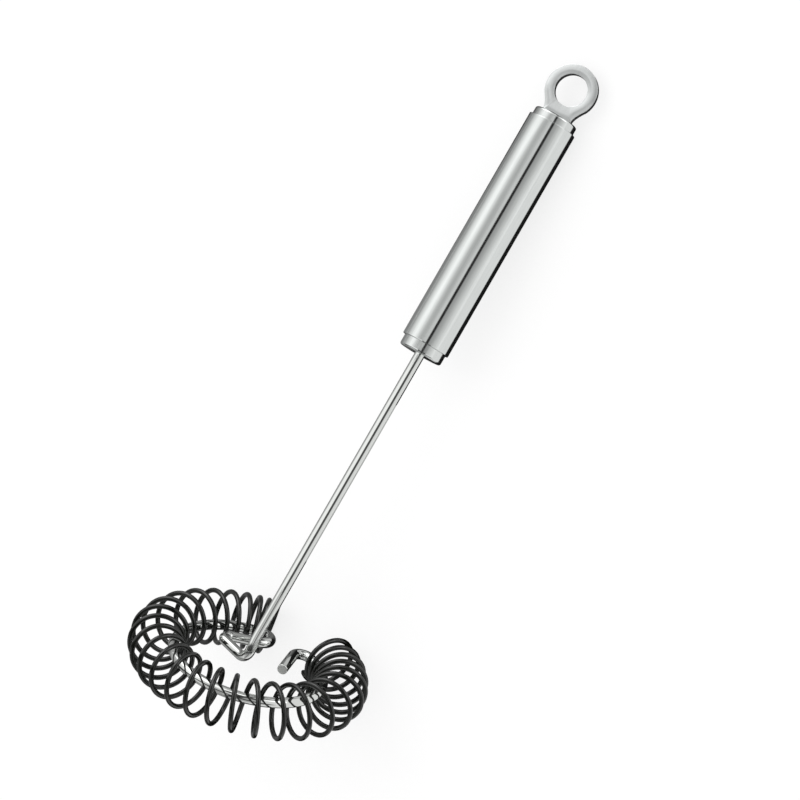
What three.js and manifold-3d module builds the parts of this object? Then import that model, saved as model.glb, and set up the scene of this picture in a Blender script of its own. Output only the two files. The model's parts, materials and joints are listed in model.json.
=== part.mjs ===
// A spiral whisk: a coil spring threaded on a wire ring, carried by a leaning shaft with a steel handle.
// Millimetres, +Z up. The whisk lies on a table as it does after use, on the two ends of its spring
// and the far rim of its handle tube, with the handle towards +X.
import * as THREE from 'three';
import { ConvexHull } from 'three/addons/math/ConvexHull.js';
import { mergeVertices } from 'three/addons/utils/BufferGeometryUtils.js';
import Module from 'manifold-3d';

const wasm = await Module();
wasm.setup();

// Clearance between pieces that are pressed or fitted together
const FIT = 0.3;

// Carrier wire: ring, double hairpin, shaft and hooked free end. Angles are in degrees.
// Angles round the ring count from the side that the shaft leans to.
const WIRE_DIAMETER = 3.8;
const RING_RADIUS = 27.3;
const RING_START = 28;
const RING_END = 341.5;
const HAIRPIN_RADIUS = 4.3;
const HAIRPIN_TURN = 168.5;
const UPPER_BAR = 10;
const RETURN_RADIUS = 3;
const RETURN_TURN = 121;
const LOWER_BAR = 9.7;
const FOOT_RADIUS = 4;
const FOOT_LEAN = 13.4;
const SHAFT_BEND_RADIUS = 25;
const SHAFT_LEAN = 27.4;
const SHAFT_LENGTH = 114.1;
const SHAFT_SEAT = 13;
const HOOK_RADIUS = 3.5;
const HOOK_TURN = 129;
const HOOK_TAIL = 13.7;
const WIRE_CHAMFER = 0.4;

// Spring: closed by the loop, open along the ring and crowded by the hook, hanging outwards on the ring.
// Its pitch sways a little along the ring, with peaks a number of turns apart.
const SPRING_DIAMETER = 20.6;
const SPRING_WIRE = 1.8;
const SPRING_START = 23.8;
const SPRING_END = 340;
const SPRING_TURNS = 28.6;
const SPRING_PHASE = 66;
const CLOSED_GAP = 0.45;
const CLOSED_TURNS = 2;
const OPENING_TURNS = 7;
const CROWDED_TURNS = 4.8;
const CROWDING_TURNS = 1.2;
const CROWDED_SHARE = 0.48;
const SWAY_SHARE = 0.21;
const SWAY_PEAK = 6.5;
const SWAY_TURNS = 15.8;
const RING_CLEARANCE = 0.5;

// Handle: a thin tube with a plug in each end
const TUBE_DIAMETER = 18.2;
const TUBE_WALL = 0.6;
const TUBE_LENGTH = 90.4;
const TUBE_EDGE = 0.2;
const LOWER_CAP_REACH = 4;
const UPPER_CAP_REACH = 3.2;
const PLUG_LENGTH = 11;
const CAP_EDGE = 0.8;

// Hanging ring: a flat plate with a round eye, on a tang in the upper cap
const EYE_DIAMETER = 12;
const EYE_OUTER_DIAMETER = 19.3;
const EYE_STAND = 10.7;
const PLATE_THICKNESS = 3;
const PLATE_EDGE = 0.4;
const PLATE_TWIST = 10.5;
const NECK_WIDTH = 10.6;
const NECK_FLARE = 0.6;
const TANG_WIDTH = 7;
const TANG_THICKNESS = 1.8;
const TANG_LENGTH = 8;

// Facets
const ROUND_SEGMENTS = 48;
const CORNER_SEGMENTS = 2;
const PLATE_SEGMENTS = 14;
const WIRE_SIDES = 12;
const BEND_STEP = 15;
const RING_STEP = 7.5;
const SPRING_STEPS = 16;
const SPRING_SIDES = 6;

const X_AXIS = new THREE.Vector3(1, 0, 0);
const Y_AXIS = new THREE.Vector3(0, 1, 0);
const RING_AXIS = new THREE.Vector3(0, 0, 1);
const lean = THREE.MathUtils.degToRad(SHAFT_LEAN);
const shaftWay = RING_AXIS.clone().applyAxisAngle(Y_AXIS, lean);

// Sizes that follow from the ones above
const springRadius = (SPRING_DIAMETER - SPRING_WIRE) / 2;
const springInside = springRadius - SPRING_WIRE / 2;
const springRing = RING_RADIUS + springInside - WIRE_DIAMETER / 2 - RING_CLEARANCE;
const plugRadius = TUBE_DIAMETER / 2 - TUBE_WALL - FIT;
const tubeTop = LOWER_CAP_REACH + TUBE_LENGTH;
const capTop = tubeTop + UPPER_CAP_REACH;

// A path of straight feeds and bends, made the way a wire-forming machine makes it
class FormedWire {
  constructor(start, way) {
    this.place = start.clone();
    this.way = way.clone();
    this.points = [start.clone()];
  }

  feed(length) {
    this.place.addScaledVector(this.way, length);
    this.points.push(this.place.clone());
    return this;
  }

  // A positive turn goes left, seen with the axis pointing at the viewer
  bend(degrees, radius, axis = RING_AXIS, stepDegrees = BEND_STEP) {
    const steps = Math.ceil(Math.abs(degrees) / stepDegrees);
    const step = THREE.MathUtils.degToRad(degrees) / steps;
    const inwards = axis.clone().cross(this.way).multiplyScalar(Math.sign(degrees) * radius);
    const centre = this.place.clone().add(inwards);
    const arm = inwards.clone().negate();
    for (let k = 0; k < steps; k += 1) {
      arm.applyAxisAngle(axis, step);
      this.points.push(centre.clone().add(arm));
    }
    this.place.copy(centre).add(arm);
    this.way.applyAxisAngle(axis, step * steps);
    return this;
  }
}

// A closed round bar along a path; each ring of the bar stands square to the path there
function roundBar(path, radii, sides) {
  const positions = [];
  const index = [];
  const side = new THREE.Vector3();
  let lastWay = null;
  path.forEach((point, i) => {
    const before = path[Math.max(i - 1, 0)];
    const after = path[Math.min(i + 1, path.length - 1)];
    const way = after.clone().sub(before).normalize();
    if (lastWay === null) {
      const helper = Math.abs(way.dot(X_AXIS)) < Math.abs(way.dot(Y_AXIS)) ? X_AXIS : Y_AXIS;
      side.crossVectors(way, helper).normalize();
    } else {
      side.applyQuaternion(new THREE.Quaternion().setFromUnitVectors(lastWay, way));
    }
    lastWay = way;
    for (let k = 0; k < sides; k += 1) {
      const spoke = side.clone().applyAxisAngle(way, (2 * Math.PI * k) / sides);
      const corner = point.clone().addScaledVector(spoke, radii[i]);
      positions.push(corner.x, corner.y, corner.z);
    }
  });
  const last = (path.length - 1) * sides;
  for (let base = 0; base < last; base += sides) {
    for (let k = 0; k < sides; k += 1) {
      const a = base + k;
      const b = base + ((k + 1) % sides);
      index.push(a, b, b + sides, a, b + sides, a + sides);
    }
  }
  for (let k = 1; k < sides - 1; k += 1) {
    index.push(0, k + 1, k);
    index.push(last, last + k, last + k + 1);
  }
  const geometry = new THREE.BufferGeometry();
  geometry.setAttribute('position', new THREE.Float32BufferAttribute(positions, 3));
  geometry.setIndex(index);
  return geometry;
}

// A mesh with shared corners and no collapsed triangles, ready to join and cut
function toSolid(geometry) {
  const bare = geometry.clone();
  bare.deleteAttribute('normal');
  bare.deleteAttribute('uv');
  const merged = mergeVertices(bare);
  const corners = merged.index.array;
  const kept = [];
  for (let i = 0; i < corners.length; i += 3) {
    const [a, b, c] = corners.slice(i, i + 3);
    if (a !== b && b !== c && c !== a) kept.push(a, b, c);
  }
  return new wasm.Manifold(new wasm.Mesh({
    numProp: 3,
    vertProperties: new Float32Array(merged.attributes.position.array),
    triVerts: new Uint32Array(kept),
  }));
}

function toGeometry(solid) {
  const mesh = solid.getMesh();
  const geometry = new THREE.BufferGeometry();
  geometry.setAttribute('position', new THREE.BufferAttribute(mesh.vertProperties, 3));
  geometry.setIndex(new THREE.BufferAttribute(mesh.triVerts, 1));
  return geometry;
}

// Turns a profile of radius and height about the Z axis
function turned(profile) {
  return new THREE.LatheGeometry(profile.getPoints(CORNER_SEGMENTS), ROUND_SEGMENTS).rotateX(Math.PI / 2);
}

function box(width, depth, height, bottom) {
  return new THREE.BoxGeometry(width, depth, height).translate(0, 0, bottom + height / 2);
}

function named(name, geometry, material) {
  const mesh = new THREE.Mesh(geometry, material);
  mesh.name = name;
  return mesh;
}

// The carrier wire runs from inside the lower cap down the shaft, round the foot, through the double
// hairpin and the ring to the hooked free end, in the ring's own frame with the ring about +Z.
function makeCarrierWire() {
  const start = X_AXIS.clone().applyAxisAngle(RING_AXIS, THREE.MathUtils.degToRad(RING_START));
  const ahead = RING_AXIS.clone().cross(start);
  start.multiplyScalar(RING_RADIUS);
  const inner = new FormedWire(start, ahead.clone().negate())
    .bend(-HAIRPIN_TURN, HAIRPIN_RADIUS)
    .feed(UPPER_BAR)
    .bend(RETURN_TURN, RETURN_RADIUS)
    .feed(LOWER_BAR);
  const footWay = RING_AXIS.clone().applyAxisAngle(Y_AXIS, THREE.MathUtils.degToRad(FOOT_LEAN));
  const footAxis = inner.way.clone().cross(footWay).normalize();
  const footTurn = THREE.MathUtils.radToDeg(inner.way.angleTo(footWay));
  inner.bend(footTurn, FOOT_RADIUS, footAxis)
    .bend(SHAFT_LEAN - FOOT_LEAN, SHAFT_BEND_RADIUS, Y_AXIS)
    .feed(SHAFT_LENGTH);
  const shaftEnd = inner.place.clone();
  inner.points.pop();
  inner.feed(SHAFT_SEAT - WIRE_CHAMFER).feed(WIRE_CHAMFER);
  const outer = new FormedWire(start, ahead)
    .bend(RING_END - RING_START, RING_RADIUS, RING_AXIS, RING_STEP)
    .bend(HOOK_TURN, HOOK_RADIUS)
    .feed(HOOK_TAIL - WIRE_CHAMFER)
    .feed(WIRE_CHAMFER);
  const path = [...inner.points.reverse(), ...outer.points.slice(1)];
  const radii = path.map(() => WIRE_DIAMETER / 2);
  radii[0] -= WIRE_CHAMFER;
  radii[radii.length - 1] -= WIRE_CHAMFER;
  return { geometry: roundBar(path, radii, WIRE_SIDES), shaftEnd };
}

// Share of the open pitch at a turn: none by the loop, then more and more, and less again by the hook
function openShare(turn) {
  const opening = Math.sqrt(THREE.MathUtils.clamp((turn - CLOSED_TURNS) / OPENING_TURNS, 0, 1));
  const crowdedFrom = SPRING_TURNS - CROWDED_TURNS;
  const crowding = THREE.MathUtils.smoothstep(turn, crowdedFrom - CROWDING_TURNS, crowdedFrom);
  const sway = 1 + SWAY_SHARE * Math.cos((2 * Math.PI * (turn - SWAY_PEAK)) / SWAY_TURNS);
  return opening * THREE.MathUtils.lerp(1, CROWDED_SHARE, crowding) * sway;
}

// The spring is a right-hand coil wound along the ring. Its closed turns keep a small gap on the
// ring's inner side, where they crowd, and the open turns share the rest of its stretch evenly.
function springPath() {
  const count = Math.round(SPRING_TURNS * SPRING_STEPS);
  const turnStep = SPRING_TURNS / count;
  const closedPitch = (SPRING_WIRE + CLOSED_GAP) / (springRing - springRadius);
  const shares = Array.from({ length: count }, (_, k) => openShare((k + 0.5) * turnStep));
  const openTurns = shares.reduce((sum, share) => sum + share, 0) * turnStep;
  const stretch = THREE.MathUtils.degToRad(SPRING_END - SPRING_START);
  const extraPitch = (stretch - closedPitch * SPRING_TURNS) / openTurns;
  const points = [];
  let around = THREE.MathUtils.degToRad(SPRING_START);
  for (let k = 0; k <= count; k += 1) {
    const winding = THREE.MathUtils.degToRad(SPRING_PHASE) - 2 * Math.PI * k * turnStep;
    const reach = springRing + springRadius * Math.cos(winding);
    const height = springRadius * Math.sin(winding);
    points.push(new THREE.Vector3(reach * Math.cos(around), reach * Math.sin(around), height));
    around += (closedPitch + extraPitch * (shares[k] ?? 0)) * turnStep;
  }
  return points;
}

// Least gap between the surfaces of neighbouring turns
function leastGap(points, diameter) {
  let least = Infinity;
  for (let i = 0; i < points.length; i += 1) {
    const from = i + Math.round(SPRING_STEPS / 2);
    const to = Math.min(i + 2 * SPRING_STEPS, points.length);
    for (let j = from; j < to; j += 1) least = Math.min(least, points[i].distanceTo(points[j]));
  }
  return least - diameter;
}

function makeSpring() {
  const path = springPath();
  console.log(`least gap between spring turns: ${leastGap(path, SPRING_WIRE).toFixed(2)} mm`);
  return roundBar(path, path.map(() => SPRING_WIRE / 2), SPRING_SIDES);
}

function makeTube() {
  const outer = TUBE_DIAMETER / 2;
  const inner = outer - TUBE_WALL;
  const profile = new THREE.Path();
  profile.moveTo(inner, LOWER_CAP_REACH);
  profile.lineTo(outer - TUBE_EDGE, LOWER_CAP_REACH);
  profile.lineTo(outer, LOWER_CAP_REACH + TUBE_EDGE);
  profile.lineTo(outer, tubeTop - TUBE_EDGE);
  profile.lineTo(outer - TUBE_EDGE, tubeTop);
  profile.lineTo(inner, tubeTop);
  profile.lineTo(inner, LOWER_CAP_REACH);
  return turned(profile);
}

// The lower cap is bored through for the shaft
function makeLowerCap() {
  const bore = WIRE_DIAMETER / 2 + FIT;
  const profile = new THREE.Path();
  profile.moveTo(bore, 0);
  profile.lineTo(plugRadius - CAP_EDGE, 0);
  profile.absarc(plugRadius - CAP_EDGE, CAP_EDGE, CAP_EDGE, -Math.PI / 2, 0, false);
  profile.lineTo(plugRadius, LOWER_CAP_REACH + PLUG_LENGTH);
  profile.lineTo(bore, LOWER_CAP_REACH + PLUG_LENGTH);
  profile.lineTo(bore, 0);
  return turned(profile);
}

// The upper cap is slotted for the hanging ring's tang
function makeUpperCap() {
  const profile = new THREE.Path();
  profile.moveTo(0, tubeTop - PLUG_LENGTH);
  profile.lineTo(plugRadius, tubeTop - PLUG_LENGTH);
  profile.lineTo(plugRadius, capTop - CAP_EDGE);
  profile.absarc(plugRadius - CAP_EDGE, capTop - CAP_EDGE, CAP_EDGE, 0, Math.PI / 2, false);
  profile.lineTo(0, capTop);
  const slot = box(TANG_WIDTH + 2 * FIT, TANG_THICKNESS + 2 * FIT, TANG_LENGTH + CAP_EDGE, capTop - TANG_LENGTH);
  return toGeometry(toSolid(turned(profile)).subtract(toSolid(slot)));
}

// The hanging ring stands in the XZ plane over the cap, with flanks that run at a tangent to its eye
function makeHangingRing() {
  const outer = EYE_OUTER_DIAMETER / 2;
  const half = NECK_WIDTH / 2;
  const foot = FIT - EYE_STAND;
  const touch = Math.atan2(foot, half) + Math.acos(outer / Math.hypot(half, foot));
  const foothold = new THREE.Vector2(half, foot);
  const flank = new THREE.Vector2(Math.cos(touch), Math.sin(touch)).multiplyScalar(outer).sub(foothold).normalize();
  const waist = foothold.clone().addScaledVector(flank, 3 * NECK_FLARE);
  const outline = new THREE.Shape();
  outline.moveTo(half + NECK_FLARE, foot);
  outline.lineTo(waist.x, waist.y);
  outline.absarc(0, 0, outer, touch, Math.PI - touch, false);
  outline.lineTo(-waist.x, waist.y);
  outline.lineTo(-half - NECK_FLARE, foot);
  const eye = new THREE.Path();
  eye.absarc(0, 0, EYE_DIAMETER / 2, 0, 2 * Math.PI, true);
  outline.holes.push(eye);
  const core = PLATE_THICKNESS - 2 * PLATE_EDGE;
  const plate = new THREE.ExtrudeGeometry(outline, {
    depth: core,
    bevelThickness: PLATE_EDGE,
    bevelSize: PLATE_EDGE,
    bevelOffset: -PLATE_EDGE,
    bevelSegments: CORNER_SEGMENTS,
    curveSegments: PLATE_SEGMENTS,
  });
  plate.translate(0, 0, -core / 2).rotateX(Math.PI / 2).translate(0, 0, capTop + EYE_STAND);
  const tangBottom = capTop + FIT - TANG_LENGTH;
  const tang = box(TANG_WIDTH, TANG_THICKNESS, TANG_LENGTH + 2 * PLATE_EDGE, tangBottom);
  return toGeometry(toSolid(plate).add(toSolid(tang)));
}

// Balance point of the part, whose pieces are all steel, from the signed volumes of its triangles
function balancePoint(group) {
  const moment = new THREE.Vector3();
  let volume = 0;
  const corners = [new THREE.Vector3(), new THREE.Vector3(), new THREE.Vector3()];
  group.updateMatrixWorld(true);
  group.traverse((mesh) => {
    if (!mesh.isMesh) return;
    const order = mesh.geometry.index.array;
    for (let i = 0; i < order.length; i += 3) {
      corners.forEach((corner, k) => mesh.getVertexPosition(order[i + k], corner).applyMatrix4(mesh.matrixWorld));
      const [a, b, c] = corners;
      const piece = a.dot(b.clone().cross(c)) / 6;
      volume += piece;
      corners.forEach((corner) => moment.addScaledVector(corner, piece / 4));
    }
  });
  return moment.divideScalar(volume);
}

// Rolls the part from a first guess of down to the side of its hull that its weight rests on, then
// points it ahead along +X, with its lowest point at Z = 0 and its box centred on the origin.
function layDown(group, guess, ahead) {
  const hull = new ConvexHull().setFromObject(group);
  const balance = balancePoint(group);
  const faceBelow = (down) => {
    const depth = (face) => (face.constant - face.normal.dot(balance)) / face.normal.dot(down);
    const below = hull.faces.filter((face) => face.normal.dot(down) > 0);
    return below.reduce((best, face) => (depth(face) < depth(best) ? face : best));
  };
  let face = faceBelow(guess);
  let next = faceBelow(face.normal);
  while (next !== face) {
    face = next;
    next = faceBelow(face.normal);
  }
  group.quaternion.setFromUnitVectors(face.normal, RING_AXIS.clone().negate());
  const heading = ahead.clone().applyQuaternion(group.quaternion);
  const turn = new THREE.Quaternion().setFromAxisAngle(RING_AXIS, -Math.atan2(heading.y, heading.x));
  group.quaternion.premultiply(turn);
  const bounds = new THREE.Box3().setFromObject(group, true);
  const centre = bounds.getCenter(new THREE.Vector3());
  group.position.set(-centre.x, -centre.y, -bounds.min.z);
}

const polishedSteel = new THREE.MeshStandardMaterial({ color: 0xc9cbcc, roughness: 0.15, metalness: 1 });
const brushedSteel = new THREE.MeshStandardMaterial({ color: 0xb9bbbc, roughness: 0.35, metalness: 1 });
const blackCoating = new THREE.MeshStandardMaterial({ color: 0x23241f, roughness: 0.4, metalness: 0.3 });

const carrier = makeCarrierWire();

const eyeGroup = new THREE.Group();
eyeGroup.rotation.z = Math.PI / 2 + THREE.MathUtils.degToRad(PLATE_TWIST);
eyeGroup.add(
  named('upper_cap', makeUpperCap(), brushedSteel),
  named('hanging_ring', makeHangingRing(), polishedSteel),
);

const handle = new THREE.Group();
handle.position.copy(carrier.shaftEnd);
handle.rotation.y = lean;
handle.add(
  named('handle_tube', toGeometry(toSolid(makeTube())), brushedSteel),
  named('lower_cap', toGeometry(toSolid(makeLowerCap())), brushedSteel),
  eyeGroup,
);

const whisk = new THREE.Group();
whisk.add(
  named('carrier_wire', carrier.geometry, polishedSteel),
  named('spring', makeSpring(), blackCoating),
  handle,
);
layDown(whisk, X_AXIS.clone().applyAxisAngle(Y_AXIS, lean), shaftWay);

export default whisk;
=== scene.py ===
import json
import math

import bpy
from mathutils import Matrix, Vector


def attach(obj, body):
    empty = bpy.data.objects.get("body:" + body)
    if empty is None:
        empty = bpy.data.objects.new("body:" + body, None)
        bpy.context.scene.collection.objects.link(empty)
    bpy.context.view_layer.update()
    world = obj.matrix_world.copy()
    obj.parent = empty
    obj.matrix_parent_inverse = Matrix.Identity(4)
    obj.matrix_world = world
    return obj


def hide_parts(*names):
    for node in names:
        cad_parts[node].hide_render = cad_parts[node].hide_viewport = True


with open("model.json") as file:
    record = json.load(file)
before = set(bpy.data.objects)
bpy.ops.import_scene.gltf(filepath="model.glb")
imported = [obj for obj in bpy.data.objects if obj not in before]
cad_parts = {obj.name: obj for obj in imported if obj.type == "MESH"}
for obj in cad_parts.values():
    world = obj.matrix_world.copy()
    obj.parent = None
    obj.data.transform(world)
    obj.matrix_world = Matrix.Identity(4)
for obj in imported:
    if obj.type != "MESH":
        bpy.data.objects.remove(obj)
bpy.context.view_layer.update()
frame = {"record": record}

# The whisk is drawn in millimetres about its ring, then set in the frame by the coil's hinge.
MM = 0.001

# Carrier wire. Angles round the ring count from the side that the shaft leans to.
WIRE_RADIUS = 1.9
RING_RADIUS = 27.3
RING_START = 28.0
RING_END = 341.5
HAIRPIN_RADIUS = 4.3
HAIRPIN_TURN = 168.5
UPPER_BAR = 10.0
RETURN_RADIUS = 3.0
RETURN_TURN = 121.0
LOWER_BAR = 9.7
FOOT_RADIUS = 4.0
FOOT_LEAN = 13.4
SHAFT_BEND_RADIUS = 25.0
SHAFT_LEAN = 27.4
SHAFT_LENGTH = 114.1
SHAFT_SEAT = 13.0
HOOK_RADIUS = 3.5
HOOK_TURN = 129.0
HOOK_TAIL = 13.7
WIRE_EDGE = 0.4

# Spring
SPRING_RADIUS = 9.4
SPRING_WIRE_RADIUS = 0.9
RING_CLEARANCE = 0.5
SPRING_START = 23.8
SPRING_END = 340.0
SPRING_TURNS = 28.6
SPRING_PHASE = 66.0
CLOSED_GAP = 0.45
CLOSED_TURNS = 2.0
OPENING_TURNS = 7.0
CROWDED_TURNS = 4.8
CROWDING_TURNS = 1.2
CROWDED_SHARE = 0.48
SWAY_SHARE = 0.21
SWAY_PEAK = 6.5
SWAY_TURNS = 15.8
SPRING_EDGE = 0.25

# Handle
TUBE_RADIUS = 9.1
TUBE_WALL = 0.6
TUBE_LENGTH = 90.4
TUBE_EDGE = 0.2
PLUG_RADIUS = 8.2
PLUG_LENGTH = 11.0
LOWER_CAP_REACH = 4.0
UPPER_CAP_REACH = 3.2
CAP_EDGE = 0.8
SHAFT_FIT = 0.05

# Hanging ring
EYE_RADIUS = 6.0
EYE_OUTER_RADIUS = 9.65
EYE_STAND = 10.7
PLATE_THICKNESS = 3.0
PLATE_TWIST = 10.5
PLATE_EDGE_WIDTH = 0.16
PLATE_EDGE_DEPTH = 0.12
PLATE_CROWN = 0.2
NECK_HALF_WIDTH = 5.3
NECK_FLARE = 0.6
NECK_SINK = 1.2

# Fineness of the meshes
WIRE_SIDES = 32
BEND_STEP = 3.0
RING_STEP = 1.5
SPRING_STEPS = 64
SPRING_SIDES = 14
TURNED_SEGMENTS = 160
EDGE_STEPS = 5
HOLD = 0.15
PLATE_STEPS = 240
FLANK_STEPS = 16
FOOT_STEPS = 40
CROWN_STEPS = 6

# Camera, from the photograph's ring: its tilt in the picture, the height of the eye over its plane,
# and the turn from its long way to the side that the shaft leans to
PHOTO_SIZE = 800
PIXEL = 0.353
RING_PIXEL = (248.29, 663.18)
CAMERA_DISTANCE = 1447.3
PICTURE_TILT = 16.85
PICTURE_HEIGHT = 21.79
PICTURE_TURN = 60.5

X_AXIS = Vector((1, 0, 0))
Y_AXIS = Vector((0, 1, 0))
Z_AXIS = Vector((0, 0, 1))

SPRING_RING = RING_RADIUS + SPRING_RADIUS - SPRING_WIRE_RADIUS - WIRE_RADIUS - RING_CLEARANCE
TUBE_TOP = LOWER_CAP_REACH + TUBE_LENGTH
CAP_TOP = TUBE_TOP + UPPER_CAP_REACH


def ring_frame():
    """The ring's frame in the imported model: its axis is the coil's hinge, and the shaft lies along X."""
    joint = frame["record"]["behaviour"]["joints"][0]
    axis = Vector(joint["axis"]).normalized()
    reach = math.hypot(axis.x, axis.z)
    pitch = math.acos(math.cos(math.radians(SHAFT_LEAN)) / reach) - math.atan2(axis.z, axis.x)
    shaft = Vector((math.cos(pitch), 0, -math.sin(pitch)))
    lean_side = (shaft - axis * shaft.dot(axis)).normalized()
    turn = Matrix((lean_side, axis.cross(lean_side), axis)).transposed().to_4x4()
    return Matrix.Translation(Vector(joint["pos_m"])) @ turn


RING = ring_frame()


class FormedWire:
    """A path of straight feeds and bends, with the wire's radius at each point."""

    def __init__(self, start, way, radius):
        self.place = start.copy()
        self.way = way.copy()
        self.radius = radius
        self.rings = [(start.copy(), radius)]

    def feed(self, length):
        self.place = self.place + self.way * length
        self.rings.append((self.place.copy(), self.radius))
        return self

    def bend(self, degrees, radius, axis=Z_AXIS, step=BEND_STEP):
        count = math.ceil(abs(degrees) / step)
        turn = Matrix.Rotation(math.radians(degrees) / count, 3, axis)
        arm = axis.cross(self.way) * -math.copysign(radius, degrees)
        centre = self.place - arm
        for _ in range(count):
            arm = turn @ arm
            self.way = turn @ self.way
            self.rings.append((centre + arm, self.radius))
        self.place = centre + arm
        return self

    def round_off(self, edge):
        start = self.place.copy()
        for k in range(1, EDGE_STEPS + 1):
            angle = math.pi / 2 * k / EDGE_STEPS
            self.place = start + self.way * edge * math.sin(angle)
            self.rings.append((self.place.copy(), self.radius - edge * (1 - math.cos(angle))))
        return self


def new_piece(name, vertices, drawn, faces, place, crease=40.0):
    """A smooth mesh in metres in the model's frame, from corners in millimetres in a frame of its own.
    The places that its material is drawn by are kept with its corners."""
    mesh = bpy.data.meshes.new(name)
    mesh.from_pydata([place @ (Vector(v) * MM) for v in vertices], [], faces)
    mesh.shade_smooth()
    mesh.set_sharp_from_angle(angle=math.radians(crease))
    places = mesh.attributes.new("drawn", "FLOAT_VECTOR", "POINT")
    places.data.foreach_set("vector", [number * MM for point in drawn for number in point])
    piece = bpy.data.objects.new(name, mesh)
    bpy.context.collection.objects.link(piece)
    return piece


def round_bar(name, rings, sides, place):
    """A closed round bar through rings of (point, radius), drawn by its length and its section."""
    vertices = []
    drawn = []
    length = 0.0
    side = None
    last_way = None
    for i, (point, radius) in enumerate(rings):
        before = rings[max(i - 1, 0)][0]
        after = rings[min(i + 1, len(rings) - 1)][0]
        way = (after - before).normalized()
        if last_way is None:
            side = way.orthogonal().normalized()
        else:
            side = last_way.rotation_difference(way) @ side
            length += (point - before).length
        last_way = way
        across = way.cross(side)
        for k in range(sides):
            angle = 2 * math.pi * k / sides
            vertices.append(point + (side * math.cos(angle) + across * math.sin(angle)) * radius)
            drawn.append((radius * math.cos(angle), radius * math.sin(angle), length))
    faces = []
    for i in range(len(rings) - 1):
        for k in range(sides):
            a = i * sides + k
            b = i * sides + (k + 1) % sides
            faces.append((a, b, b + sides, a + sides))
    faces.append(tuple(reversed(range(sides))))
    last = (len(rings) - 1) * sides
    faces.append(tuple(range(last, last + sides)))
    return new_piece(name, vertices, drawn, faces, place)


def held(profile):
    """The profile with a point just inside each end of its long sides, so that they shade straight."""
    points = []
    for (r0, z0), (r1, z1) in zip(profile, profile[1:] + profile[:1]):
        points.append((r0, z0))
        length = math.hypot(r1 - r0, z1 - z0)
        if length > 3 * HOLD:
            for share in (HOLD / length, 1 - HOLD / length):
                points.append((r0 + (r1 - r0) * share, z0 + (z1 - z0) * share))
    return points


def turned(name, profile, place):
    """A closed profile of (radius, height) turned about the Z axis of its frame."""
    profile = held(profile)
    vertices = []
    for k in range(TURNED_SEGMENTS):
        angle = 2 * math.pi * k / TURNED_SEGMENTS
        vertices += [(r * math.cos(angle), r * math.sin(angle), z) for r, z in profile]
    count = len(profile)
    faces = []
    for k in range(TURNED_SEGMENTS):
        here = k * count
        there = ((k + 1) % TURNED_SEGMENTS) * count
        for i in range(count):
            j = (i + 1) % count
            faces.append((here + i, there + i, there + j, here + j))
    return new_piece(name, vertices, vertices, faces, place)


def quarter(centre_r, centre_z, radius, start):
    """A quarter round of a turned profile, anticlockwise from the start angle."""
    angles = [math.radians(start + 90 * k / EDGE_STEPS) for k in range(EDGE_STEPS + 1)]
    return [(centre_r + radius * math.cos(a), centre_z + radius * math.sin(a)) for a in angles]


def carrier_wire_rings():
    start_angle = math.radians(RING_START)
    start = Vector((math.cos(start_angle), math.sin(start_angle), 0)) * RING_RADIUS
    ahead = Vector((-math.sin(start_angle), math.cos(start_angle), 0))
    inner = FormedWire(start, -ahead, WIRE_RADIUS)
    inner.bend(-HAIRPIN_TURN, HAIRPIN_RADIUS).feed(UPPER_BAR)
    inner.bend(RETURN_TURN, RETURN_RADIUS).feed(LOWER_BAR)
    foot_lean = math.radians(FOOT_LEAN)
    foot_way = Vector((math.sin(foot_lean), 0, math.cos(foot_lean)))
    foot_axis = inner.way.cross(foot_way).normalized()
    inner.bend(math.degrees(inner.way.angle(foot_way)), FOOT_RADIUS, foot_axis)
    inner.bend(SHAFT_LEAN - FOOT_LEAN, SHAFT_BEND_RADIUS, Y_AXIS).feed(SHAFT_LENGTH)
    shaft_end = inner.place.copy()
    inner.feed(SHAFT_SEAT - WIRE_EDGE).round_off(WIRE_EDGE)
    outer = FormedWire(start, ahead, WIRE_RADIUS)
    outer.bend(RING_END - RING_START, RING_RADIUS, step=RING_STEP)
    outer.bend(HOOK_TURN, HOOK_RADIUS).feed(HOOK_TAIL - WIRE_EDGE).round_off(WIRE_EDGE)
    return inner.rings[::-1] + outer.rings[1:], shaft_end


def smoothstep(value, low, high):
    share = min(max((value - low) / (high - low), 0.0), 1.0)
    return share * share * (3 - 2 * share)


def open_share(turn):
    """Share of the open pitch at a turn: none by the loop, then more and more, and less by the hook."""
    opening = math.sqrt(min(max((turn - CLOSED_TURNS) / OPENING_TURNS, 0.0), 1.0))
    crowded_from = SPRING_TURNS - CROWDED_TURNS
    crowding = smoothstep(turn, crowded_from - CROWDING_TURNS, crowded_from)
    sway = 1 + SWAY_SHARE * math.cos(2 * math.pi * (turn - SWAY_PEAK) / SWAY_TURNS)
    return opening * (1 + (CROWDED_SHARE - 1) * crowding) * sway


def spring_rings():
    """The spring's wire, wound right-handed along the ring."""
    count = round(SPRING_TURNS * SPRING_STEPS)
    turn_step = SPRING_TURNS / count
    shares = [open_share((k + 0.5) * turn_step) for k in range(count)]
    closed_pitch = (2 * SPRING_WIRE_RADIUS + CLOSED_GAP) / (SPRING_RING - SPRING_RADIUS)
    stretch = math.radians(SPRING_END - SPRING_START)
    extra_pitch = (stretch - closed_pitch * SPRING_TURNS) / (sum(shares) * turn_step)
    rings = []
    around = math.radians(SPRING_START)
    for k in range(count + 1):
        winding = math.radians(SPRING_PHASE) - 2 * math.pi * k * turn_step
        reach = SPRING_RING + SPRING_RADIUS * math.cos(winding)
        height = SPRING_RADIUS * math.sin(winding)
        place = Vector((reach * math.cos(around), reach * math.sin(around), height))
        radius = SPRING_WIRE_RADIUS
        if k in (0, count):
            radius -= SPRING_EDGE
        rings.append((place, radius))
        if k < count:
            around += (closed_pitch + extra_pitch * shares[k]) * turn_step
    return rings


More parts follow.
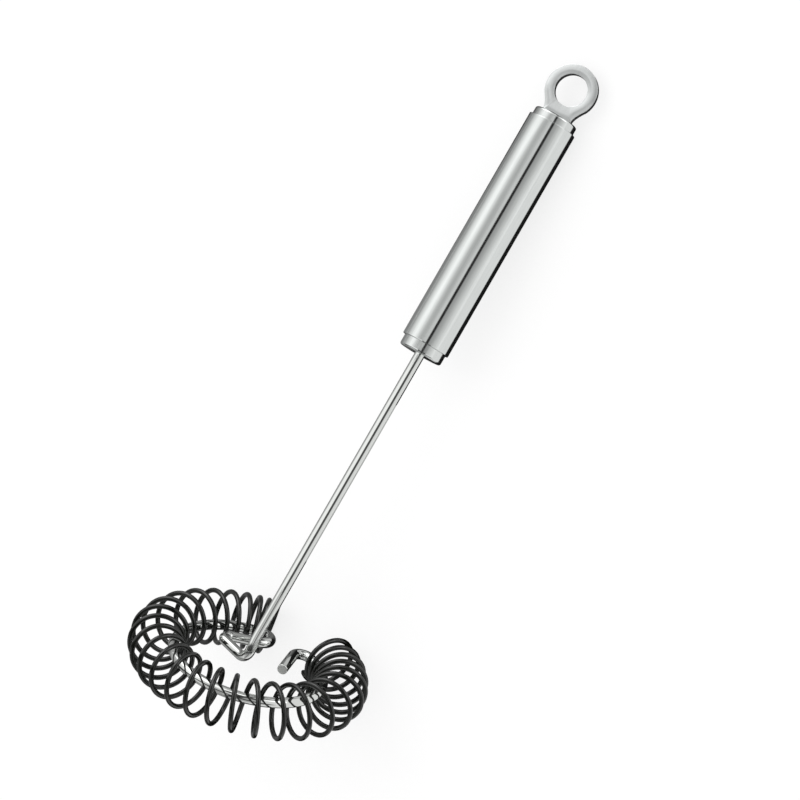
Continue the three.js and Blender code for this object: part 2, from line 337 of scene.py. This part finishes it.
def plate_outline():
    """The hanging ring's outline about its eye: a circle, flanks at a tangent to it and a flared foot."""
    seat = -EYE_STAND
    reach = math.hypot(NECK_HALF_WIDTH, seat)
    touch = math.atan2(seat, NECK_HALF_WIDTH) + math.acos(EYE_OUTER_RADIUS / reach)
    top = Vector((math.cos(touch), math.sin(touch))) * EYE_OUTER_RADIUS
    waist = Vector((NECK_HALF_WIDTH, seat + 3 * NECK_FLARE))
    foot = Vector((NECK_HALF_WIDTH + NECK_FLARE, seat))
    flank = []
    for k in range(1, FLANK_STEPS + 1):
        share = k / FLANK_STEPS
        flank.append(top * (1 - share) ** 2 + waist * 2 * share * (1 - share) + foot * share ** 2)
    flank.append(foot - Vector((0, NECK_SINK)))
    arc = []
    for k in range(PLATE_STEPS + 1):
        angle = touch + (math.pi - 2 * touch) * k / PLATE_STEPS
        arc.append(Vector((math.cos(angle), math.sin(angle))) * EYE_OUTER_RADIUS)
    left = [Vector((-p.x, p.y)) for p in flank]
    bottom = [left[-1].lerp(flank[-1], k / FOOT_STEPS) for k in range(1, FOOT_STEPS)]
    return arc + left + bottom + flank[::-1]


def plate_piece(name, place):
    """The hanging ring, the same on both faces: small rounded edges and a low crown from edge to eye."""
    outline = plate_outline()
    count = len(outline)
    wall = PLATE_THICKNESS / 2 - PLATE_CROWN - PLATE_EDGE_DEPTH
    eye = [p.normalized() * EYE_RADIUS for p in outline]
    from_eye = [p.normalized() for p in outline]
    from_edge = []
    for i in range(count):
        way = (outline[(i + 1) % count] - outline[i - 1]).normalized()
        from_edge.append(Vector((-way.y, way.x)))

    def edge_loops(edge, inwards):
        loops = []
        for k in range(EDGE_STEPS + 1):
            angle = math.pi / 2 * k / EDGE_STEPS
            inset = PLATE_EDGE_WIDTH * (1 - math.cos(angle))
            height = wall + PLATE_EDGE_DEPTH * math.sin(angle)
            loops.append(([p + n * inset for p, n in zip(edge, inwards)], height))
        return loops

    outer = edge_loops(outline, from_edge)
    inner = edge_loops(eye, from_eye)
    face = []
    for k in range(1, CROWN_STEPS):
        share = k / CROWN_STEPS
        height = outer[-1][1] + PLATE_CROWN * (1 - (2 * share - 1) ** 2)
        face.append(([a.lerp(b, share) for a, b in zip(outer[-1][0], inner[-1][0])], height))
    front = outer + face + inner[::-1]
    loops = front + [(points, -height) for points, height in reversed(front)]
    vertices = [(p.x, height, p.y) for points, height in loops for p in points]
    faces = []
    for i in range(len(loops)):
        here = i * count
        there = ((i + 1) % len(loops)) * count
        for k in range(count):
            n = (k + 1) % count
            faces.append((here + k, here + n, there + n, there + k))
    return new_piece(name, vertices, vertices, faces, place, crease=50.0)


def make_camera():
    """The photograph's camera, set by where the ring is in the picture and how it is turned there."""
    ring_to_picture = (
        Matrix.Rotation(math.radians(-PICTURE_TILT), 3, "Z")
        @ Matrix.Rotation(math.radians(PICTURE_HEIGHT - 90), 3, "X")
        @ Matrix.Rotation(math.radians(PICTURE_TURN), 3, "Z"))
    picture_axes = RING.to_3x3() @ ring_to_picture.transposed()
    middle = PHOTO_SIZE / 2
    aside = (middle - RING_PIXEL[0]) * PIXEL
    above = (RING_PIXEL[1] - middle) * PIXEL
    place = RING.translation + picture_axes @ Vector((aside, above, CAMERA_DISTANCE)) * MM
    camera = bpy.data.objects.new("camera", bpy.data.cameras.new("camera"))
    camera.data.angle = 2 * math.atan(middle * PIXEL / CAMERA_DISTANCE)
    camera.matrix_world = Matrix.Translation(place) @ picture_axes.to_4x4()
    bpy.context.collection.objects.link(camera)
    bpy.context.scene.camera = camera
    return picture_axes


picture_axes = make_camera()


class Nodes:
    """Short words for adding and joining shader nodes."""

    def __init__(self, tree):
        self.tree = tree
        tree.nodes.clear()

    def add(self, kind, **settings):
        node = self.tree.nodes.new("ShaderNode" + kind)
        for key, value in settings.items():
            setattr(node, key, value)
        return node

    def join(self, source, target):
        self.tree.links.new(source, target)

    def math(self, operation, *values):
        node = self.add("Math", operation=operation)
        for socket, value in zip(node.inputs, values):
            if isinstance(value, (int, float)):
                socket.default_value = value
            else:
                self.join(value, socket)
        return node.outputs[0]

    def dot(self, vector, direction):
        node = self.add("VectorMath", operation="DOT_PRODUCT")
        self.join(vector, node.inputs[0])
        node.inputs[1].default_value = direction
        return node.outputs["Value"]

    def ramp(self, factor, stops):
        node = self.add("ValToRGB")
        elements = node.color_ramp.elements
        elements[0].position = stops[0][0]
        elements[1].position = stops[-1][0]
        for position, _ in stops[1:-1]:
            elements.new(position)
        for element, (_, colour) in zip(elements, stops):
            element.color = (*colour, 1)
        self.join(factor, node.inputs[0])
        return node.outputs[0]

    def noise(self, vector, scale, detail, roughness):
        node = self.add("TexNoise")
        node.inputs["Scale"].default_value = scale
        node.inputs["Detail"].default_value = detail
        node.inputs["Roughness"].default_value = roughness
        self.join(vector, node.inputs["Vector"])
        return node.outputs["Fac"]

    def drawn(self, stretch=(1, 1, 1)):
        node = self.add("Mapping")
        node.inputs["Scale"].default_value = stretch
        self.join(self.add("Attribute", attribute_name="drawn").outputs["Vector"], node.inputs["Vector"])
        return node.outputs[0]

    def span(self, value, low, high):
        node = self.add("MapRange")
        self.join(value, node.inputs["Value"])
        node.inputs["To Min"].default_value = low
        node.inputs["To Max"].default_value = high
        return node.outputs[0]

    def bump(self, height, distance):
        node = self.add("Bump")
        node.inputs["Distance"].default_value = distance
        self.join(height, node.inputs["Height"])
        return node.outputs[0]


def start_material(name):
    material = bpy.data.materials.new(name)
    material.use_nodes = True
    nodes = Nodes(material.node_tree)
    shader = nodes.add("BsdfPrincipled")
    output = nodes.add("OutputMaterial")
    nodes.join(shader.outputs[0], output.inputs["Surface"])
    return material, nodes, shader


# Steel: fine grain along each piece, over wide soft patches. Scales are per metre, depths in metres.
GRAIN_DETAIL = 4.0
GRAIN_ROUGHNESS = 0.6
PATCH_SCALE = 90.0
PATCH_SHARE = 0.5
TONE_FROM = 0.45
TONE_TO = 0.95
CUT_ROUGHNESS = 0.5
POLISHED = {
    "tone": (0.752, 0.767, 0.747), "grain_scale": 5200.0, "grain_stretch": 0.02,
    "roughness": (0.03, 0.08), "tone_spread": 0.03, "bump_depth": 0.0000006}
BRUSHED = {
    "tone": (0.742, 0.766, 0.754), "grain_scale": 5200.0, "grain_stretch": 0.012,
    "roughness": (0.06, 0.12), "tone_spread": 0.06, "bump_depth": 0.0000005}
SATIN = {
    "tone": (0.735, 0.757, 0.745), "grain_scale": 4200.0, "grain_stretch": 0.02,
    "roughness": (0.07, 0.14), "tone_spread": 0.05, "bump_depth": 0.0000006}
GROUND = {
    "tone": (0.756, 0.776, 0.772), "grain_scale": 2600.0, "grain_stretch": 0.08,
    "roughness": (0.10, 0.17), "tone_spread": 0.04, "bump_depth": 0.000001}


def steel(name, tone, grain_scale, grain_stretch, roughness, tone_spread, bump_depth, cut_at=None):
    """Stainless steel whose grain runs along one way: streaks in tone, gloss and height.
    Past a cut it is matt."""
    material, nodes, shader = start_material(name)
    shader.inputs["Metallic"].default_value = 1.0
    along = nodes.drawn((1, 1, grain_stretch))
    grain = nodes.noise(along, grain_scale, GRAIN_DETAIL, GRAIN_ROUGHNESS)
    patches = nodes.noise(nodes.drawn(), PATCH_SCALE, GRAIN_DETAIL, GRAIN_ROUGHNESS)
    both = nodes.math("MULTIPLY_ADD", patches, PATCH_SHARE, grain)
    dull = [c * (1 - tone_spread) for c in tone]
    bright = [min(c * (1 + tone_spread), 1) for c in tone]
    nodes.join(nodes.ramp(both, [(TONE_FROM, dull), (TONE_TO, bright)]), shader.inputs["Base Color"])
    matt = nodes.span(grain, *roughness)
    if cut_at is not None:
        place = nodes.add("SeparateXYZ")
        nodes.join(nodes.drawn(), place.inputs[0])
        past_cut = nodes.math("GREATER_THAN", place.outputs["Z"], cut_at)
        matt = nodes.math("MULTIPLY_ADD", past_cut, CUT_ROUGHNESS, matt)
    nodes.join(matt, shader.inputs["Roughness"])
    nodes.join(nodes.bump(grain, bump_depth), shader.inputs["Normal"])
    return material


# Coating of the spring
PEEL_SCALE = 2600.0
PEEL_DEPTH = 0.000012
RUB_SCALE = 420.0
COAT_DARK = (0.0014, 0.0019, 0.0010)
COAT_RUBBED = (0.0066, 0.0076, 0.0054)
COAT_ROUGHNESS = (0.10, 0.20)
COAT_GLOSS = 0.65
RUB_FROM = 0.4
RUB_TO = 0.8


def black_coating():
    """A thin satin black coating: a faint orange peel and paler rubbed spots."""
    material, nodes, shader = start_material("black_coating")
    shader.inputs["Specular IOR Level"].default_value = COAT_GLOSS
    peel = nodes.noise(nodes.drawn(), PEEL_SCALE, GRAIN_DETAIL, GRAIN_ROUGHNESS)
    rub = nodes.noise(nodes.drawn(), RUB_SCALE, GRAIN_DETAIL, GRAIN_ROUGHNESS)
    tones = nodes.ramp(rub, [(RUB_FROM, COAT_DARK), (RUB_TO, COAT_RUBBED)])
    nodes.join(tones, shader.inputs["Base Color"])
    nodes.join(nodes.span(rub, *COAT_ROUGHNESS), shader.inputs["Roughness"])
    nodes.join(nodes.bump(peel, PEEL_DEPTH), shader.inputs["Normal"])
    return material


def dress(piece, node, material):
    piece.data.materials.append(material)
    body = next(name for name, nodes in frame["record"]["behaviour"]["bodies"].items() if node in nodes)
    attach(piece, body)
    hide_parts(node)


def make_whisk():
    wire_rings, shaft_end = carrier_wire_rings()
    lean = Matrix.Rotation(math.radians(SHAFT_LEAN), 4, "Y")
    handle = RING @ Matrix.Translation(shaft_end * MM) @ lean
    twist = Matrix.Rotation(math.radians(90 + PLATE_TWIST), 4, "Z")
    eye = handle @ Matrix.Translation((0, 0, (CAP_TOP + EYE_STAND) * MM)) @ twist

    wire_length = sum((b[0] - a[0]).length for a, b in zip(wire_rings, wire_rings[1:]))
    cut = (wire_length - WIRE_EDGE / 4) * MM
    polished = steel("polished_steel", **POLISHED, cut_at=cut)
    brushed = steel("brushed_steel", **BRUSHED)
    satin = steel("satin_steel", **SATIN)
    ground = steel("eye_steel", **GROUND)

    dress(round_bar("wire", wire_rings, WIRE_SIDES, RING), "carrier_wire", polished)
    spring = round_bar("coil_spring", spring_rings(), SPRING_SIDES, RING)
    dress(spring, "spring", black_coating())

    inner = TUBE_RADIUS - TUBE_WALL
    rim = TUBE_RADIUS - TUBE_EDGE
    tube_profile = (
        [(inner, LOWER_CAP_REACH)]
        + quarter(rim, LOWER_CAP_REACH + TUBE_EDGE, TUBE_EDGE, -90)
        + quarter(rim, TUBE_TOP - TUBE_EDGE, TUBE_EDGE, 0)
        + [(inner, TUBE_TOP)])
    dress(turned("tube", tube_profile, handle), "handle_tube", brushed)

    bore = WIRE_RADIUS + SHAFT_FIT
    shoulder = PLUG_RADIUS - CAP_EDGE
    lower_profile = (
        [(bore, 0)]
        + quarter(shoulder, CAP_EDGE, CAP_EDGE, -90)
        + [(PLUG_RADIUS, LOWER_CAP_REACH + PLUG_LENGTH), (bore, LOWER_CAP_REACH + PLUG_LENGTH)])
    dress(turned("lower_plug", lower_profile, handle), "lower_cap", satin)

    core = SHAFT_FIT
    upper_profile = (
        [(core, TUBE_TOP - PLUG_LENGTH), (PLUG_RADIUS, TUBE_TOP - PLUG_LENGTH)]
        + quarter(shoulder, CAP_TOP - CAP_EDGE, CAP_EDGE, 0)
        + [(core, CAP_TOP)])
    dress(turned("upper_plug", upper_profile, handle), "upper_cap", satin)
    dress(plate_piece("hanging_eye", eye), "hanging_ring", ground)
    return handle


handle = make_whisk()

# The studio: a white floor, a soft lamp overhead, a pale room with a few dark strips in it, and cards
# under and over the whisk that only reflections show
FLOOR_SIZE = 8.0
FLOOR_DROP = 0.0002
FLOOR_TONE = 0.8
FLOOR_SEEN_TONE = 1.0
FLOOR_GLOW_SHARE = 0.75
KEY_DISTANCE = 1.5
KEY_SIZE = 1.1
KEY_POWER = 3.0
KEY_ANGLE = -50.0
ROOM_LIGHT = 1.0
# Gain of the room's light by how far a way lies along the handle, from past the ring to past the eye
ROOM_BY_SLANT = (
    (-1, 0.65), (-0.65, 0.65), (-0.55, 0.1), (-0.35, 0.1), (-0.27, 1), (0.27, 1), (0.4, 2.6), (0.75, 2.6),
    (0.85, 0.6), (1, 0.6))
# Light of the room by the angle round the handle, in degrees from the camera towards the picture's right
ROOM_BY_ANGLE = (
    (-180, 0.05), (-140, 0.15), (-126, 0.27), (-109, 0.44), (-95, 0.76), (-71, 1.2), (-61, 1.12),
    (-42, 0.60), (-32, 0.49), (-23, 0.55), (-13, 0.70), (-5.5, 0.70), (-3.5, 0.02), (6.5, 0.02), (8.5, 0.36),
    (21, 0.45), (40, 0.70), (59, 0.95), (70, 0.95), (82, 0.86), (110, 0.88), (120, 0.05), (180, 0.03))
CARD_ANGLE = 117.0
CARD_HEIGHT = 0.0005
CARD_REACH = 1.8
# Tone of the card by the distance from its dark edge, in metres towards the picture's left
CARD_BY_PLACE = (
    (-0.03, 0.85), (-0.0006, 0.85), (0.0006, 0.01), (0.035, 0.01), (0.06, 0.27), (0.12, 0.27), (0.2, 0.4))
# Cards over the shaft and the hanging ring, for their reflections: tones by the angle, ends along the handle
OVERHEAD_DISTANCE = 0.2
SHAFT_CARD_END = 10.0
SHAFT_CARD_BY_ANGLE = ((-60, 1.1), (-23, 1.08), (-19, 0.09), (21, 0.09), (25, 0.8), (60, 0.87))
RING_CARD_FROM = 29.0
RING_CARD_TO = 160.0
RING_CARD_BY_ANGLE = ((-60, 1.15), (-54, 1.12), (-12, 0.42), (5, 0.4))
# Small cards on the floor: pale under the shaft, dark under the hanging ring
SMALL_CARD_HEIGHT = 0.0008
SHAFT_FLOOR_FROM = -88.0
SHAFT_FLOOR_TO = -22.0
SHAFT_FLOOR_HALF_WIDTH = 22.0
SHAFT_FLOOR_TONE = 0.6
RING_FLOOR_HALF_WIDTH = 15.0
RING_FLOOR_TONE = 0.03


def grey(tone):
    return (tone, tone, tone)


def stage_plane(name, corners):
    """A flat stage piece, with an empty material to fill."""
    mesh = bpy.data.meshes.new(name)
    mesh.from_pydata(corners, [], [tuple(range(len(corners)))])
    plane = bpy.data.objects.new(name, mesh)
    bpy.context.collection.objects.link(plane)
    material = bpy.data.materials.new(name)
    material.use_nodes = True
    mesh.materials.append(material)
    return plane, Nodes(material.node_tree)


def glow_in_reflections(plane, nodes):
    """Makes a stage piece glow, seen only in reflections, and gives the socket of its colour."""
    plane.visible_camera = False
    plane.visible_diffuse = False
    plane.visible_transmission = False
    plane.visible_shadow = False
    glow = nodes.add("Emission")
    output = nodes.add("OutputMaterial")
    nodes.join(glow.outputs[0], output.inputs["Surface"])
    return glow.inputs["Color"]


def make_floor():
    half = FLOOR_SIZE / 2
    corners = [(x, y, -FLOOR_DROP) for x, y in ((-half, -half), (half, -half), (half, half), (-half, half))]
    _, nodes = stage_plane("floor", corners)
    path = nodes.add("LightPath")
    seen = nodes.math("ADD", path.outputs["Is Camera Ray"], path.outputs["Is Glossy Ray"])
    seen = nodes.math("MINIMUM", nodes.math("ADD", seen, path.outputs["Is Transmission Ray"]), 1.0)
    diffuse = nodes.add("BsdfDiffuse")
    tones = nodes.span(seen, FLOOR_TONE, FLOOR_SEEN_TONE)
    nodes.join(tones, diffuse.inputs["Color"])
    glow = nodes.add("Emission")
    lifted = nodes.add("MixShader")
    nodes.join(nodes.math("MULTIPLY", seen, FLOOR_GLOW_SHARE), lifted.inputs[0])
    nodes.join(diffuse.outputs[0], lifted.inputs[1])
    nodes.join(glow.outputs[0], lifted.inputs[2])
    output = nodes.add("OutputMaterial")
    nodes.join(lifted.outputs[0], output.inputs["Surface"])


def handle_ways():
    """From the handle's middle line: along it, to the eye and to the picture's right."""
    along = (handle.to_3x3() @ Z_AXIS).normalized()
    eye_way = picture_axes @ Z_AXIS
    to_eye = (eye_way - along * eye_way.dot(along)).normalized()
    to_right = along.cross(to_eye)
    if to_right.dot(picture_axes @ X_AXIS) < 0:
        to_right = -to_right
    return to_eye, to_right


def turn_share(degrees):
    """Share of a full turn for an angle from -180 to 180 degrees."""
    return (degrees + 180) / 360


def way_at(degrees):
    """The way at an angle round the handle, from the eye towards the picture's right."""
    to_eye, to_right = handle_ways()
    return to_eye * math.cos(math.radians(degrees)) + to_right * math.sin(math.radians(degrees))


def make_card():
    """The card on the floor, dark under the whisk. Its dark edge lies where the handle's right side reflects
    it from a given angle on."""
    glance = way_at(CARD_ANGLE)
    edge = []
    for height in (0, CAP_TOP):
        start = handle @ Vector((0, 0, height * MM)) + way_at(CARD_ANGLE / 2) * TUBE_RADIUS * MM
        edge.append(start + glance * ((CARD_HEIGHT - start.z) / glance.z))
    ahead = (edge[1] - edge[0]).normalized() * CARD_REACH
    aside = Z_AXIS.cross(ahead)
    card, nodes = stage_plane("card", [
        edge[0] - ahead - aside, edge[0] + ahead - aside, edge[0] + ahead + aside, edge[0] - ahead + aside])
    left = aside.normalized()
    place = nodes.dot(nodes.add("NewGeometry").outputs["Position"], left)
    low, high = CARD_BY_PLACE[0][0], CARD_BY_PLACE[-1][0]
    share = nodes.math("DIVIDE", nodes.math("SUBTRACT", place, low + edge[0].dot(left)), high - low)
    tones = nodes.ramp(share, [((y - low) / (high - low), grey(tone)) for y, tone in CARD_BY_PLACE])
    nodes.join(tones, glow_in_reflections(card, nodes))


def angle_share(nodes, way):
    """Share of a full turn at which a way lies round the handle, a half being towards the eye."""
    to_eye, to_right = handle_ways()
    angle = nodes.math("ARCTAN2", nodes.dot(way, to_right), nodes.dot(way, to_eye))
    return nodes.math("MULTIPLY_ADD", angle, 0.5 / math.pi, 0.5)


def make_overhead(name, ends, tones_by_angle):
    """A card over a length of the handle's middle line, seen only in reflections."""
    to_eye, to_right = handle_ways()
    first, last = [math.tan(math.radians(tones_by_angle[k][0])) for k in (0, -1)]
    corners = []
    for height, slope in ((ends[0], first), (ends[0], last), (ends[1], last), (ends[1], first)):
        foot = handle @ Vector((0, 0, height * MM))
        corners.append(foot + (to_eye + to_right * slope) * OVERHEAD_DISTANCE)
    card, nodes = stage_plane(name, corners)
    way = nodes.add("VectorMath", operation="SUBTRACT")
    nodes.join(nodes.add("NewGeometry").outputs["Position"], way.inputs[0])
    way.inputs[1].default_value = handle.translation
    low, high = [turn_share(tones_by_angle[k][0]) for k in (0, -1)]
    share = nodes.math("DIVIDE", nodes.math("SUBTRACT", angle_share(nodes, way.outputs[0]), low), high - low)
    stops = [((turn_share(degrees) - low) / (high - low), grey(tone)) for degrees, tone in tones_by_angle]
    nodes.join(nodes.ramp(share, stops), glow_in_reflections(card, nodes))


def make_floor_card(name, ends, half_width, tone):
    """An even card on the floor under a length of the handle's middle line, seen only in reflections."""
    aside = Z_AXIS.cross(handle.to_3x3() @ Z_AXIS).normalized() * half_width * MM
    feet = [handle @ Vector((0, 0, height * MM)) for height in ends]
    for foot in feet:
        foot.z = SMALL_CARD_HEIGHT
    card, nodes = stage_plane(name, [feet[0] - aside, feet[1] - aside, feet[1] + aside, feet[0] + aside])
    glow_in_reflections(card, nodes).default_value = (*grey(tone), 1)


def make_room():
    """The world: plain light for the surfaces, and for reflections a room of pale walls and dark strips
    that lie along the handle."""
    world = bpy.data.worlds.new("room")
    world.use_nodes = True
    bpy.context.scene.world = world
    nodes = Nodes(world.node_tree)
    way = nodes.add("TexCoord").outputs["Generated"]
    stops = [(turn_share(degrees), grey(tone)) for degrees, tone in ROOM_BY_ANGLE]
    strips = nodes.ramp(angle_share(nodes, way), stops)
    along = nodes.dot(way, handle.to_3x3() @ Z_AXIS)
    slants = [((slant + 1) / 2, grey(gain)) for slant, gain in ROOM_BY_SLANT]
    gains = nodes.ramp(nodes.math("MULTIPLY_ADD", along, 0.5, 0.5), slants)
    walls = nodes.math("MULTIPLY", strips, gains)
    path = nodes.add("LightPath")
    shown = nodes.add("Background")
    nodes.join(walls, shown.inputs["Color"])
    plain = nodes.add("Background")
    plain.inputs["Color"].default_value = (1, 1, 1, 1)
    plain.inputs["Strength"].default_value = ROOM_LIGHT
    white = nodes.add("Background")
    white.inputs["Color"].default_value = (1, 1, 1, 1)
    reflected = nodes.add("MixShader")
    nodes.join(path.outputs["Is Glossy Ray"], reflected.inputs[0])
    nodes.join(plain.outputs[0], reflected.inputs[1])
    nodes.join(shown.outputs[0], reflected.inputs[2])
    seen = nodes.add("MixShader")
    nodes.join(path.outputs["Is Camera Ray"], seen.inputs[0])
    nodes.join(reflected.outputs[0], seen.inputs[1])
    nodes.join(white.outputs[0], seen.inputs[2])
    output = nodes.add("OutputWorld")
    nodes.join(seen.outputs[0], output.inputs["Surface"])


def make_key():
    """The overhead softbox, at the bright strip of the room."""
    way = way_at(KEY_ANGLE)
    light = bpy.data.lights.new("key", "AREA")
    light.shape = "DISK"
    light.size = KEY_SIZE
    light.energy = KEY_POWER
    lamp = bpy.data.objects.new("key", light)
    turn = way.to_track_quat("Z", "Y").to_matrix().to_4x4()
    lamp.matrix_world = Matrix.Translation(way * KEY_DISTANCE) @ turn
    lamp.visible_glossy = False
    bpy.context.collection.objects.link(lamp)


make_floor()
make_card()
make_overhead("shaft_card", (SHAFT_CARD_END - SHAFT_LENGTH, SHAFT_CARD_END), SHAFT_CARD_BY_ANGLE)
make_overhead("ring_card", (CAP_TOP + RING_CARD_FROM, CAP_TOP + RING_CARD_TO), RING_CARD_BY_ANGLE)
make_floor_card("shaft_floor", (SHAFT_FLOOR_FROM, SHAFT_FLOOR_TO), SHAFT_FLOOR_HALF_WIDTH, SHAFT_FLOOR_TONE)
make_floor_card("ring_floor", (CAP_TOP, CAP_TOP + 2 * EYE_STAND), RING_FLOOR_HALF_WIDTH, RING_FLOOR_TONE)
make_room()
make_key()
bpy.context.scene.view_settings.view_transform = "Standard"
